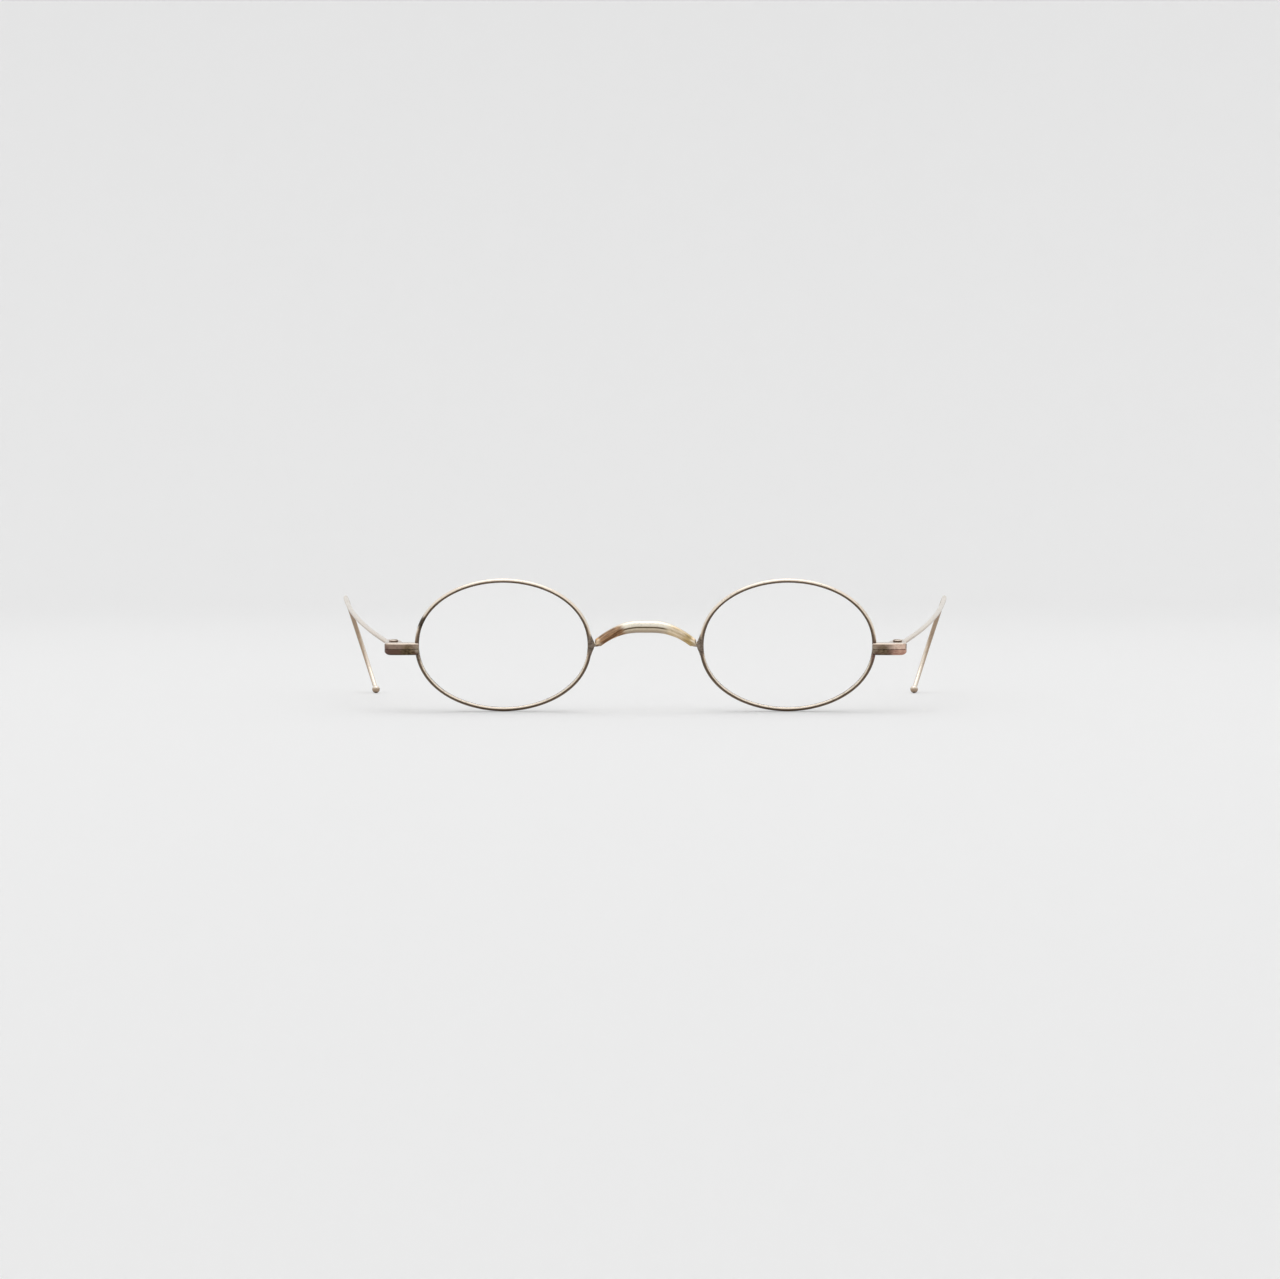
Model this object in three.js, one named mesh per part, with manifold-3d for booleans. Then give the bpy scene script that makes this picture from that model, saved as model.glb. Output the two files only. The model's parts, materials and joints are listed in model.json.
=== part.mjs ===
// Oval wire eyeglasses: grooved eyewires with glass lenses, a saddle bridge,
// split end pieces closed by the hinge screws, and wire temples with ear hooks.
// Millimetres, +Z up. The front faces -Y and the temples run towards +Y.
// Left and right are the wearer's: left is on +X.
import * as THREE from "three";
import { mergeVertices } from "three/addons/utils/BufferGeometryUtils.js";
import Module from "manifold-3d";

const wasm = await Module();
wasm.setup();

// Lenses
const LENS_WIDTH = 37; // at the point of the bevel
const LENS_HEIGHT = 27.7;
const LENS_SPACING = 61.6; // between the lens centres
const LENS_SHOULDER = 0.2; // from the bevel to the lens face, along the lens axis
const LENS_CROWN = 0.4; // rise of each face from its edge to its middle
const BEVEL_TIP = 0.1; // flat left on the point of the bevel

// Eyewires, with a D-shaped section and a V groove for the lens
const WIRE_WALL = 0.68; // outside the lens edge
const WIRE_LAP = 0.4; // inside the lens edge
const WIRE_DEPTH = 1.5; // front to back
const WIRE_LIP = 0.25; // flat beside the groove
const LENS_GAP = 0.12; // between lens and groove
const SOLDER_GAP = 0.08; // between soldered pieces

// Saddle bridge
const FOOT_HEIGHT = 0.1; // of the bridge's feet over the lens centres
const FOOT_LENGTH = 4.4; // along the eyewire
const FOOT_SWELL = 0.6; // of a foot's middle from its thin ends
const FOOT_EDGE = 0.08; // thickness left at a foot's ends
const FOOT_CROWN = 0.15; // of a foot's middle from its front and back edges
const FOOT_DEPTH = 1.1; // front to back
const NECK_DIAMETER = 1.1;
const NECK_LENGTH = 1.3;
const NECK_SLOPE = THREE.MathUtils.degToRad(11);
const LIMB_SLOPE = THREE.MathUtils.degToRad(38); // of the limbs where they leave the necks
const CREST_RISE = 3.9; // over the feet
const CREST_LENGTH = 2.8; // of the straight, flat-backed saddle
const CREST_PULL = 0.4; // share of a limb's width over which the saddle stays level
const LIMB_PULL = 0.38; // share over which the limb keeps its slope
const CREST_SETBACK = 1; // behind the lens plane
const CREST_LEAN = THREE.MathUtils.degToRad(18); // top of the saddle leans back
const BAND_WIDTH = 2.7; // at the crest
const LIMB_WIDTH = 1.8; // where the band leaves the necks
const BAND_FRONT = 0.95; // swell of the band's front from its edges
const BAND_BACK = 0.3; // from the band's edges to its flat back
const BAND_CHAMFER = 0.25; // between the band's edges and its flat back
const BAND_TAPER = 0.7; // length over which the neck widens into the limb
const BAND_SPREAD = 9; // distance from the neck at which the band has its full width

// Split end pieces
const END_LENGTH = 7.1;
const END_DEPTH = 2.2; // of the bar beside the eyewire, front to back
const END_PROUD = 0.45; // of the bar's front before the eyewire
const END_BELLY = 0.3; // swell of the front face
const END_CORNER = 1.3; // radius of the outer front corner
const END_EDGE = 0.3; // rounding of the edges
const END_DROP = 0.8; // below the lens centres
const SPLIT_GAP = 0.18; // between the halves
const EAR_THICKNESS = 0.75; // of a half above or below the tongue
const EAR_LAP = 0.3; // of the ears past the tongue
const EAR_CHAMFER = 0.28; // on the corner that stops the temple

// Hinge
const FOLD_ROOM = 0.8; // between the bar's back and the folded temple
const SCREW_DIAMETER = 1.2;
const SCREW_GAP = 0.08; // between screw and holes
const HEAD_LIP = 0.4; // of the screw head past its shank
const HEAD_HEIGHT = 0.32;
const HEAD_EDGE = 0.1;
const SLOT_WIDTH = 0.3;
const SLOT_DEPTH = 0.18;
const TONGUE_THICKNESS = 0.95;
const TONGUE_WALL = 0.87; // round the screw hole
const TONGUE_GAP = 0.08; // above and below the tongue
const STOP_GAP = 0.12; // between the temple joint and the ears at the open stop

// Temples
const TEMPLE_DIAMETER = 1.1;
const TEMPLE_LENGTH = 86.5; // from the ferrule to the bend
const TEMPLE_FLARE = THREE.MathUtils.degToRad(15.5); // outwards at the hinge
const BEND_FLARE = THREE.MathUtils.degToRad(5.5); // outwards at the bend
const SHOULDER_LENGTH = 1.6;
const SHOULDER_HEIGHT = 2.3;
const SHOULDER_INSIDE = 0.7; // from the hinge axis towards the wearer
const SHOULDER_EDGE = 0.15;
const FERRULE_WALL = 0.4; // round the temple wire
const FERRULE_LENGTH = 3.4;
const SOCKET_DEPTH = 2; // of the temple wire in the ferrule
const HOOK_RADIUS = 10.5; // at the bend
const HOOK_TURN = THREE.MathUtils.degToRad(100);
const TAIL_RADIUS = 16; // of the hook's lower part
const TAIL_TURN = THREE.MathUtils.degToRad(50);
const HOOK_LEAN = THREE.MathUtils.degToRad(17.5); // towards the wearer
const TIP_WALL = 0.4; // of the bead round the temple wire
const TIP_SOCKET = 0.7; // depth of the wire's end in the bead

// Fineness of the round forms
const OVAL_STEPS = 60;
const ROUND_STEPS = 20;
const SECTION_STEPS = 8; // of the half ovals in the eyewire's and the bridge's sections
const LIMB_STEPS = 14; // of the bridge's limbs, and of its feet
const TEMPLE_STEPS = 60;
const TEMPLE_SIDES = 10;

// Values that follow from the driving sizes
const lensX = LENS_SPACING / 2;
const lensA = LENS_WIDTH / 2;
const lensB = LENS_HEIGHT / 2;
const grooveMouth = WIRE_DEPTH / 2 - WIRE_LIP;
const bevelMouth = grooveMouth - LENS_GAP;
const bevelReach = WIRE_LAP + LENS_GAP;
const screwRadius = SCREW_DIAMETER / 2;
const headRadius = screwRadius + HEAD_LIP;
const holeRadius = screwRadius + SCREW_GAP;
const tongueRadius = holeRadius + TONGUE_WALL;
const earRadius = tongueRadius + EAR_LAP;
const slotHalf = TONGUE_THICKNESS / 2 + TONGUE_GAP;
const endHalfHeight = slotHalf + EAR_THICKNESS;
const endInnerX = lensX + lensA + LENS_GAP;
const endOuterX = endInnerX + END_LENGTH;
const endFrontY = -WIRE_DEPTH / 2 - END_PROUD;
const endBackY = endFrontY + END_DEPTH;
const hingeX = endOuterX - earRadius;
const hingeY = endBackY + SHOULDER_INSIDE + FOLD_ROOM;
const wireRadius = TEMPLE_DIAMETER / 2;
const tipRadius = wireRadius + TIP_WALL;
const shoulderY = earRadius + STOP_GAP;
const shoulderEndY = shoulderY + SHOULDER_LENGTH;
const shaftX = (earRadius - SHOULDER_INSIDE) / 2;

// Finishes
const finishes = {
  eyewire: { color: 0xb98f5c, roughness: 0.25, metalness: 1 },
  bridge: { color: 0xc09a5e, roughness: 0.22, metalness: 1 },
  endpiece: { color: 0xa77d4e, roughness: 0.3, metalness: 1 },
  temple: { color: 0xc7a77c, roughness: 0.2, metalness: 1 },
  screw: { color: 0x9c7a4c, roughness: 0.35, metalness: 1 },
  lens: { color: 0xf2f6f4, roughness: 0.02, metalness: 0, transparent: true, opacity: 0.3 },
};

// A closed skin over rings of points that run on from one another.
// Open ends are closed by a fan round the middle of the end ring.
function skinRings(rings, closed = false) {
  const count = rings[0].length;
  const points = rings.flat();
  const faces = [];
  const spans = closed ? rings.length : rings.length - 1;
  for (let i = 0; i < spans; i += 1) {
    const here = i * count;
    const next = ((i + 1) % rings.length) * count;
    for (let j = 0; j < count; j += 1) {
      const k = (j + 1) % count;
      faces.push(here + j, here + k, next + k);
      faces.push(here + j, next + k, next + j);
    }
  }
  if (!closed) {
    const last = (rings.length - 1) * count;
    const startMiddle = points.length;
    points.push(middleOf(rings[0]));
    const endMiddle = points.length;
    points.push(middleOf(rings[rings.length - 1]));
    for (let j = 0; j < count; j += 1) {
      const k = (j + 1) % count;
      faces.push(startMiddle, k, j);
      faces.push(endMiddle, last + j, last + k);
    }
  }
  return new THREE.BufferGeometry().setFromPoints(points).setIndex(faces);
}

function middleOf(ring) {
  const middle = new THREE.Vector3();
  for (const point of ring) middle.add(point);
  return middle.divideScalar(ring.length);
}

// Solids for joining and cutting
function toSolid(geometry) {
  const bare = geometry.clone();
  bare.deleteAttribute("normal");
  bare.deleteAttribute("uv");
  const merged = mergeVertices(bare, 1e-5);
  const corners = Array.from(merged.index.array);
  const kept = [];
  for (let i = 0; i < corners.length; i += 3) {
    const [a, b, c] = corners.slice(i, i + 3);
    if (a !== b && b !== c && c !== a) kept.push(a, b, c);
  }
  const mesh = new wasm.Mesh({
    numProp: 3,
    vertProperties: merged.getAttribute("position").array,
    triVerts: new Uint32Array(kept),
  });
  return new wasm.Manifold(mesh);
}

function toGeometry(solid) {
  const mesh = solid.getMesh();
  const geometry = new THREE.BufferGeometry();
  geometry.setAttribute("position", new THREE.BufferAttribute(mesh.vertProperties, 3));
  geometry.setIndex(new THREE.BufferAttribute(mesh.triVerts, 1));
  geometry.computeVertexNormals();
  return geometry;
}

// A block between two opposite corners
function block(low, high) {
  const size = new THREE.Vector3().subVectors(high, low);
  const geometry = new THREE.BoxGeometry(size.x, size.y, size.z);
  const middle = new THREE.Vector3().addVectors(low, high).multiplyScalar(0.5);
  return toSolid(geometry.translate(middle.x, middle.y, middle.z));
}

// A round bar along Z, between two heights
function roundBar(radius, x, y, lowZ, highZ) {
  const geometry = new THREE.CylinderGeometry(radius, radius, highZ - lowZ, ROUND_STEPS);
  geometry.rotateX(Math.PI / 2);
  return toSolid(geometry.translate(x, y, (lowZ + highZ) / 2));
}

// A plan outline raised to a height with rounded edges, centred on Z = 0
function roundedPlate(outline, height, edge) {
  const geometry = new THREE.ExtrudeGeometry(outline, {
    depth: height - 2 * edge,
    bevelThickness: edge,
    bevelSize: edge,
    bevelOffset: -edge,
    bevelSegments: 2,
    curveSegments: 6,
  });
  return toSolid(geometry.translate(0, 0, edge - height / 2));
}

// The mirror image of a geometry across the middle of the glasses
function mirrorImage(geometry) {
  const image = geometry.clone().scale(-1, 1, 1);
  const corners = image.index.array;
  for (let i = 0; i < corners.length; i += 3) {
    [corners[i], corners[i + 1]] = [corners[i + 1], corners[i]];
  }
  return image;
}

function makeMesh(name, geometry, finish) {
  const mesh = new THREE.Mesh(geometry, new THREE.MeshStandardMaterial(finishes[finish]));
  mesh.name = name;
  return mesh;
}

// A point beside the lens oval: out along its normal, and back along Y
function ovalPoint(angle, out, back) {
  const normal = new THREE.Vector2(Math.cos(angle) / lensA, Math.sin(angle) / lensB).normalize();
  const x = lensX + lensA * Math.cos(angle) + normal.x * out;
  const z = lensB * Math.sin(angle) + normal.y * out;
  return new THREE.Vector3(x, back, z);
}

function ovalAngles() {
  return Array.from({ length: OVAL_STEPS }, (_, i) => (i / OVAL_STEPS) * 2 * Math.PI);
}

// Outer, D-shaped edge of the eyewire's section, as [out, back] points
function wireOutside(gap) {
  const outline = [];
  for (let i = 0; i <= SECTION_STEPS; i += 1) {
    const angle = (i / SECTION_STEPS) * Math.PI;
    const out = -WIRE_LAP + (WIRE_WALL + WIRE_LAP + gap) * Math.sin(angle);
    const back = -(WIRE_DEPTH / 2 + gap) * Math.cos(angle);
    outline.push([out, back]);
  }
  return outline;
}

function ovalSweep(section) {
  return skinRings(ovalAngles().map((a) => section.map(([out, back]) => ovalPoint(a, out, back))), true);
}

// Eyewire: a grooved oval ring, cut open where the end piece stands
function eyewire() {
  const grooveFloor = BEVEL_TIP / 2 + LENS_GAP;
  const groove = [
    [-WIRE_LAP, grooveMouth],
    [LENS_GAP, grooveFloor],
    [LENS_GAP, -grooveFloor],
    [-WIRE_LAP, -grooveMouth],
  ];
  const ring = toSolid(ovalSweep([...wireOutside(0), ...groove]));
  const halfGap = endHalfHeight + SOLDER_GAP;
  const opening = block(
    new THREE.Vector3(lensX + lensA / 2, -WIRE_DEPTH, -END_DROP - halfGap),
    new THREE.Vector3(endOuterX, WIRE_DEPTH, -END_DROP + halfGap),
  );
  return toGeometry(ring.subtract(opening));
}

// Lens: two crowned faces and a V-bevelled edge
function lens() {
  const edgeHalf = bevelMouth + LENS_SHOULDER;
  const ring = (out, back) => ovalAngles().map((a) => ovalPoint(a, out, back));
  const faceRing = (share, back) =>
    ring(-bevelReach, back).map((p) => {
      const x = lensX + (p.x - lensX) * share;
      const rise = LENS_CROWN * (1 - share * share);
      return new THREE.Vector3(x, back + Math.sign(back) * rise, p.z * share);
    });
  const faceShares = [0.02, 0.5, 1]; // rings of a face, from its middle to its edge
  const back = faceShares.map((share) => faceRing(share, edgeHalf));
  const front = faceShares.map((share) => faceRing(share, -edgeHalf)).reverse();
  const edge = [
    ring(-bevelReach, bevelMouth),
    ring(0, BEVEL_TIP / 2),
    ring(0, -BEVEL_TIP / 2),
    ring(-bevelReach, -bevelMouth),
  ];
  return skinRings([...back, ...edge, ...front]);
}

// One half of the bridge's line, from inside the eyewire to the saddle's middle
function bridgeHalfPath() {
  const footX = lensX - lensA - WIRE_WALL;
  const foot = new THREE.Vector3(footX, 0, FOOT_HEIGHT);
  const root = new THREE.Vector3(footX + WIRE_WALL / 2, 0, FOOT_HEIGHT);
  const rising = (slope) => new THREE.Vector3(-Math.cos(slope), 0, Math.sin(slope));
  const neck = foot.clone().addScaledVector(rising(NECK_SLOPE), NECK_LENGTH);
  const crest = new THREE.Vector3(CREST_LENGTH / 2, CREST_SETBACK, FOOT_HEIGHT + CREST_RISE);
  const limbWidth = neck.x - crest.x;
  const limb = new THREE.CubicBezierCurve3(
    neck,
    neck.clone().addScaledVector(rising(LIMB_SLOPE), LIMB_PULL * limbWidth),
    crest.clone().add(new THREE.Vector3(CREST_PULL * limbWidth, 0, 0)),
    crest,
  );
  const middle = new THREE.Vector3(0, crest.y, crest.z);
  const saddle = crest.clone().lerp(middle, 0.1);
  return [root, foot, ...limb.getPoints(LIMB_STEPS), saddle, middle];
}

// The bridge's section: half oval in front, flat behind, as [across, back] points
function bridgeSection({ width, front, back, chamfer }) {
  const outline = [];
  for (let i = 0; i <= SECTION_STEPS; i += 1) {
    const angle = (i / SECTION_STEPS) * Math.PI;
    outline.push([(-width / 2) * Math.cos(angle), -front * Math.sin(angle)]);
  }
  outline.push([width / 2 - chamfer, back]);
  outline.push([chamfer - width / 2, back]);
  return outline;
}

// Saddle bridge: a half-oval band that narrows to round necks on spread feet
function bridge() {
  const half = bridgeHalfPath();
  const mirrored = half.slice(0, -1).map((p) => new THREE.Vector3(-p.x, p.y, p.z));
  const path = [...mirrored, ...half.reverse()];
  const neckRadius = NECK_DIAMETER / 2;
  const neckX = lensX - lensA - WIRE_WALL - NECK_LENGTH;
  const rings = path.map((point, i) => {
    const before = path[Math.max(i - 1, 0)];
    const after = path[Math.min(i + 1, path.length - 1)];
    const along = new THREE.Vector3().subVectors(after, before).normalize();
    const inward = neckX - Math.abs(point.x);
    const fullness = THREE.MathUtils.smoothstep(inward, 0, BAND_TAPER);
    const spread = THREE.MathUtils.smoothstep(inward, BAND_TAPER, BAND_SPREAD);
    const between = (neck, band) => THREE.MathUtils.lerp(neck, band, fullness);
    const section = bridgeSection({
      width: between(NECK_DIAMETER, THREE.MathUtils.lerp(LIMB_WIDTH, BAND_WIDTH, spread)),
      front: between(neckRadius, BAND_FRONT),
      back: between(neckRadius, BAND_BACK),
      chamfer: between(neckRadius / 2, BAND_CHAMFER),
    });
    const lean = CREST_LEAN * fullness;
    const upright = new THREE.Vector3(0, Math.sin(lean), Math.cos(lean));
    const behind = new THREE.Vector3().crossVectors(upright, along).normalize();
    const across = new THREE.Vector3().crossVectors(behind, along);
    return section.map(([a, b]) => point.clone().addScaledVector(across, a).addScaledVector(behind, b));
  });
  const foot = bridgeFoot();
  const wireSpace = ovalSweep(wireOutside(SOLDER_GAP));
  const solid = toSolid(skinRings(rings))
    .add(toSolid(foot))
    .add(toSolid(mirrorImage(foot)))
    .subtract(toSolid(wireSpace))
    .subtract(toSolid(mirrorImage(wireSpace)));
  return toGeometry(solid);
}

// The crescent that spreads a bridge foot along the eyewire
function bridgeFoot() {
  const span = FOOT_LENGTH / lensB;
  const middle = Math.PI - FOOT_HEIGHT / lensB;
  const half = FOOT_DEPTH / 2;
  const rings = [];
  for (let i = 0; i <= LIMB_STEPS; i += 1) {
    const share = i / LIMB_STEPS - 0.5;
    const fullness = Math.cos(share * Math.PI) ** 2;
    const crown = WIRE_WALL + SOLDER_GAP + FOOT_EDGE + FOOT_SWELL * fullness;
    const edge = crown - FOOT_CROWN * fullness;
    const section = [
      [0, -half],
      [edge, -half],
      [crown, 0],
      [edge, half],
      [0, half],
    ];
    rings.push(section.map(([out, back]) => ovalPoint(middle + share * span, out, back)));
  }
  return skinRings(rings);
}

// Plan of the whole end piece: a bar beside the eyewire and a hinge ear behind its outer end
function endPlan() {
  const plan = new THREE.Shape();
  const cornerX = endOuterX - END_CORNER;
  const earBackY = hingeY + earRadius;
  plan.moveTo(endInnerX, endFrontY);
  plan.quadraticCurveTo((endInnerX + cornerX) / 2, endFrontY - 2 * END_BELLY, cornerX, endFrontY);
  plan.absarc(cornerX, endFrontY + END_CORNER, END_CORNER, -Math.PI / 2, 0);
  plan.lineTo(endOuterX, earBackY - EAR_CHAMFER);
  plan.lineTo(endOuterX - EAR_CHAMFER, earBackY);
  plan.absarc(hingeX, hingeY, earRadius, Math.PI / 2, Math.PI);
  plan.lineTo(hingeX - earRadius, endBackY);
  plan.lineTo(endInnerX, endBackY);
  plan.closePath();
  return plan;
}

// End-piece half: its side is 1 for the upper half and -1 for the lower one
function endHalf(side) {
  const far = END_LENGTH + END_DEPTH;
  const body = roundedPlate(endPlan(), 2 * endHalfHeight, END_EDGE);
  const half = block(
    new THREE.Vector3(endInnerX - far, endFrontY - far, side > 0 ? SPLIT_GAP / 2 : -far),
    new THREE.Vector3(endOuterX + far, hingeY + far, side > 0 ? far : -SPLIT_GAP / 2),
  );
  const slot = block(
    new THREE.Vector3(hingeX - earRadius - FOLD_ROOM, hingeY - tongueRadius - STOP_GAP, -slotHalf),
    new THREE.Vector3(endOuterX + far, hingeY + far, slotHalf),
  );
  const hole = roundBar(holeRadius, hingeX, hingeY, -far, far);
  return toGeometry(body.intersect(half).subtract(slot).subtract(hole));
}

// Hinge screw: a slotted head over the upper half, and a shank down to the lower half's face
function hingeScrew() {
  const seatZ = endHalfHeight + SOLDER_GAP;
  const topZ = seatZ + HEAD_HEIGHT;
  const profile = [
    [0, -endHalfHeight],
    [screwRadius - HEAD_EDGE, -endHalfHeight],
    [screwRadius, -endHalfHeight + HEAD_EDGE],
    [screwRadius, seatZ],
    [headRadius, seatZ],
    [headRadius, topZ - HEAD_EDGE],
    [headRadius - HEAD_EDGE, topZ],
    [0, topZ],
  ].map(([radius, height]) => new THREE.Vector2(radius, height));
  const turned = new THREE.LatheGeometry(profile, ROUND_STEPS).rotateX(Math.PI / 2);
  const slot = block(
    new THREE.Vector3(-2 * headRadius, -SLOT_WIDTH / 2, topZ - SLOT_DEPTH),
    new THREE.Vector3(2 * headRadius, SLOT_WIDTH / 2, topZ + HEAD_HEIGHT),
  );
  return toGeometry(toSolid(turned).subtract(slot));
}

// Temple joint, about the hinge axis: tongue, stop shoulder and ferrule
function templeJoint() {
  const half = TONGUE_THICKNESS / 2;
  const far = 2 * endHalfHeight;
  const neck = block(
    new THREE.Vector3(-SHOULDER_INSIDE, 0, -half),
    new THREE.Vector3(SHOULDER_INSIDE, shoulderEndY, half),
  );
  const shoulder = new THREE.Shape();
  shoulder.moveTo(-SHOULDER_INSIDE, shoulderY);
  shoulder.lineTo(earRadius, shoulderY);
  shoulder.lineTo(earRadius, shoulderEndY);
  shoulder.lineTo(-SHOULDER_INSIDE, shoulderEndY);
  shoulder.closePath();
  const socketStart = FERRULE_LENGTH - SOCKET_DEPTH;
  const socket = alongTemple(wireRadius + SOLDER_GAP, socketStart, FERRULE_LENGTH + far);
  const solid = roundBar(tongueRadius, 0, 0, -half, half)
    .add(neck)
    .add(roundedPlate(shoulder, SHOULDER_HEIGHT, SHOULDER_EDGE))
    .add(alongTemple(wireRadius + FERRULE_WALL, -SHOULDER_LENGTH / 2, FERRULE_LENGTH));
  return toGeometry(solid.subtract(roundBar(holeRadius, 0, 0, -far, far)).subtract(socket));
}

// A round bar on the temple's starting line, between two distances from the shoulder's end
function alongTemple(radius, from, to) {
  const geometry = new THREE.CylinderGeometry(radius, radius, to - from, ROUND_STEPS);
  geometry.translate(0, (from + to) / 2, 0);
  geometry.rotateZ(-TEMPLE_FLARE);
  return toSolid(geometry.translate(shaftX, shoulderEndY, 0));
}

// Temple line about the hinge axis: a bowed shank, then the hook in two arcs
class TempleLine extends THREE.Curve {
  getPoint(share, target = new THREE.Vector3()) {
    const hookLength = HOOK_RADIUS * HOOK_TURN;
    const travel = share * (TEMPLE_LENGTH + hookLength + TAIL_RADIUS * TAIL_TURN);
    const shank = Math.min(travel, TEMPLE_LENGTH);
    const hook = THREE.MathUtils.clamp(travel - TEMPLE_LENGTH, 0, hookLength) / HOOK_RADIUS;
    const tail = hook + Math.max(travel - TEMPLE_LENGTH - hookLength, 0) / TAIL_RADIUS;

    const socketEnd = FERRULE_LENGTH - SOCKET_DEPTH + SOLDER_GAP;
    const startX = shaftX + socketEnd * Math.sin(TEMPLE_FLARE);
    const startY = shoulderEndY + socketEnd * Math.cos(TEMPLE_FLARE);
    const heading = THREE.MathUtils.lerp(TEMPLE_FLARE, BEND_FLARE, shank / TEMPLE_LENGTH);
    const bowRadius = TEMPLE_LENGTH / (TEMPLE_FLARE - BEND_FLARE);
    target.set(
      startX + bowRadius * (Math.cos(heading) - Math.cos(TEMPLE_FLARE)),
      startY + bowRadius * (Math.sin(TEMPLE_FLARE) - Math.sin(heading)),
      0,
    );

    const reach = HOOK_RADIUS * Math.sin(hook) + TAIL_RADIUS * (Math.sin(tail) - Math.sin(hook));
    const drop = HOOK_RADIUS * (1 - Math.cos(hook)) + TAIL_RADIUS * (Math.cos(hook) - Math.cos(tail));
    const inward = drop * Math.sin(HOOK_LEAN);
    target.x += reach * Math.sin(BEND_FLARE) - inward * Math.cos(BEND_FLARE);
    target.y += reach * Math.cos(BEND_FLARE) + inward * Math.sin(BEND_FLARE);
    target.z -= drop * Math.cos(HOOK_LEAN);
    return target;
  }
}

// Temple wire: a round section carried along the temple line
function templeWire(line) {
  const section = new THREE.Shape().absarc(0, 0, wireRadius, 0, 2 * Math.PI);
  return new THREE.ExtrudeGeometry(section, {
    extrudePath: line,
    steps: TEMPLE_STEPS,
    curveSegments: TEMPLE_SIDES / 2,
    bevelEnabled: false,
  });
}

// Middle of the bead on the hook's end, and the wire's direction there
function tipPlace(line) {
  const end = line.getPoint(1);
  const along = line.getTangent(1);
  return { middle: end.clone().addScaledVector(along, tipRadius - TIP_SOCKET), along, end };
}

// Temple tip: a bead bored for the wire's end
function templeTip(line) {
  const { middle, along, end } = tipPlace(line);
  const bead = new THREE.SphereGeometry(tipRadius, ROUND_STEPS, ROUND_STEPS / 2);
  const boreRadius = wireRadius + SOLDER_GAP;
  const bore = new THREE.CylinderGeometry(boreRadius, boreRadius, 2 * tipRadius, ROUND_STEPS);
  bore.translate(0, SOLDER_GAP - tipRadius, 0);
  bore.applyQuaternion(new THREE.Quaternion().setFromUnitVectors(new THREE.Vector3(0, 1, 0), along));
  const solid = toSolid(bead.translate(middle.x, middle.y, middle.z));
  return toGeometry(solid.subtract(toSolid(bore.translate(end.x, end.y, end.z))));
}

// Everything on one side; the right side is the left one mirrored
function makeSide(name) {
  const side = new THREE.Group();
  side.add(makeMesh(`${name}_eyewire`, eyewire(), "eyewire"));
  side.add(makeMesh(`${name}_lens`, lens(), "lens"));

  const endPiece = new THREE.Group();
  endPiece.position.z = -END_DROP;
  endPiece.add(makeMesh(`${name}_endpiece_upper`, endHalf(1), "endpiece"));
  endPiece.add(makeMesh(`${name}_endpiece_lower`, endHalf(-1), "endpiece"));

  const hinge = new THREE.Group();
  hinge.name = `${name}_hinge_line`;
  hinge.position.set(hingeX, hingeY, 0);
  const line = new TempleLine();
  hinge.add(makeMesh(`${name}_hinge_screw`, hingeScrew(), "screw"));
  hinge.add(makeMesh(`${name}_temple_joint`, templeJoint(), "temple"));
  hinge.add(makeMesh(`${name}_temple_wire`, templeWire(line), "temple"));
  hinge.add(makeMesh(`${name}_temple_tip`, templeTip(line), "temple"));
  endPiece.add(hinge);
  side.add(endPiece);
  return side;
}

// Tilt at which the eyewires and the temple tips stand on one level
function restTilt() {
  const edgeRadius = (WIRE_DEPTH / 2) ** 2 / (WIRE_WALL + WIRE_LAP);
  const eyewireZ = -lensB - WIRE_WALL + edgeRadius;
  const tip = tipPlace(new TempleLine()).middle;
  const rise = tip.z - END_DROP - eyewireZ;
  const run = hingeY + tip.y;
  return Math.atan2(run, rise) - Math.acos((tipRadius - edgeRadius) / Math.hypot(run, rise));
}

const eyeglasses = new THREE.Group();
const standing = new THREE.Group();
const leftSide = makeSide("left");
const rightSide = makeSide("right");
rightSide.scale.x = -1;
standing.add(leftSide, rightSide, makeMesh("bridge", bridge(), "bridge"));
standing.rotation.x = restTilt();
eyeglasses.add(standing);

// The origin is the middle of the footprint, on the surface that the glasses stand on
const bounds = new THREE.Box3().setFromObject(eyeglasses, true);
const middle = bounds.getCenter(new THREE.Vector3());
standing.position.set(-middle.x, -middle.y, -bounds.min.z);

export default eyeglasses;
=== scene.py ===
import json
import math

import bmesh
import bpy
from mathutils import Matrix, Vector
from mathutils.geometry import interpolate_bezier


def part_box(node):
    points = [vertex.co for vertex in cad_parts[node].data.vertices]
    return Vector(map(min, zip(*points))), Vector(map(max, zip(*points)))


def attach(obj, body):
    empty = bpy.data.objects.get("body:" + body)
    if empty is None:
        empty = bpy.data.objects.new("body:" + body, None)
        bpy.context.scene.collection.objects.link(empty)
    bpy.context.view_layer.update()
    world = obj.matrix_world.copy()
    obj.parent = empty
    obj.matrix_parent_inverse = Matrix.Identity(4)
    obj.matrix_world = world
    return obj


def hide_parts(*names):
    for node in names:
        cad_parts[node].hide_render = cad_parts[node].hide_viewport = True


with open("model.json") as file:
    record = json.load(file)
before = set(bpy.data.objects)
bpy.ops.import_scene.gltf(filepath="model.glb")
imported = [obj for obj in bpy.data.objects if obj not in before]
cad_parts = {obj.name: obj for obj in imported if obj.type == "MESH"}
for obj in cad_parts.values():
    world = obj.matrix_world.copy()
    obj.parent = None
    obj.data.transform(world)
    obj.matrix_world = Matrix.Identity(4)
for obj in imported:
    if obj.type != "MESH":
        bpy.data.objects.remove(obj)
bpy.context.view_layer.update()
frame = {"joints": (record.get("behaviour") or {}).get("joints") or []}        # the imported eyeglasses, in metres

mm = 0.001
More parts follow.
